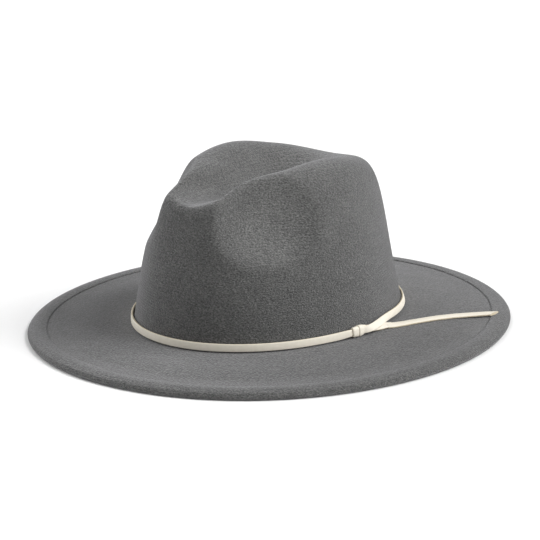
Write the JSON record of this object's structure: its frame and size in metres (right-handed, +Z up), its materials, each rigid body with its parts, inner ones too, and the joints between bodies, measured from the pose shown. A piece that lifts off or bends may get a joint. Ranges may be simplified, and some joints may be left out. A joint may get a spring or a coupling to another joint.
{
  "type": "rancher hat",
  "caption": "Felt rancher hat: teardrop crown with front pinches, wide brim with a folded edge, flat lace band knotted at the side with a free end.",
  "frame": {"origin": "middle of the ground under the brim, on the plane the brim's rim rests on", "axes": "+Z up through the crown, -Y the front of the hat, +X the wearer's left, where the knot is"},
  "size_m": [0.3076, 0.3465, 0.1182],
  "materials": {
    "felt": "matt grey wool felt with a short nap",
    "lace": "cream suede-like flat lace with tan cut edges"
  },
  "bodies": {
    "root": {"felt_body": "felt", "hat_band": "lace", "band_knot": "lace", "band_tail": "lace"}
  },
  "joints": []
}
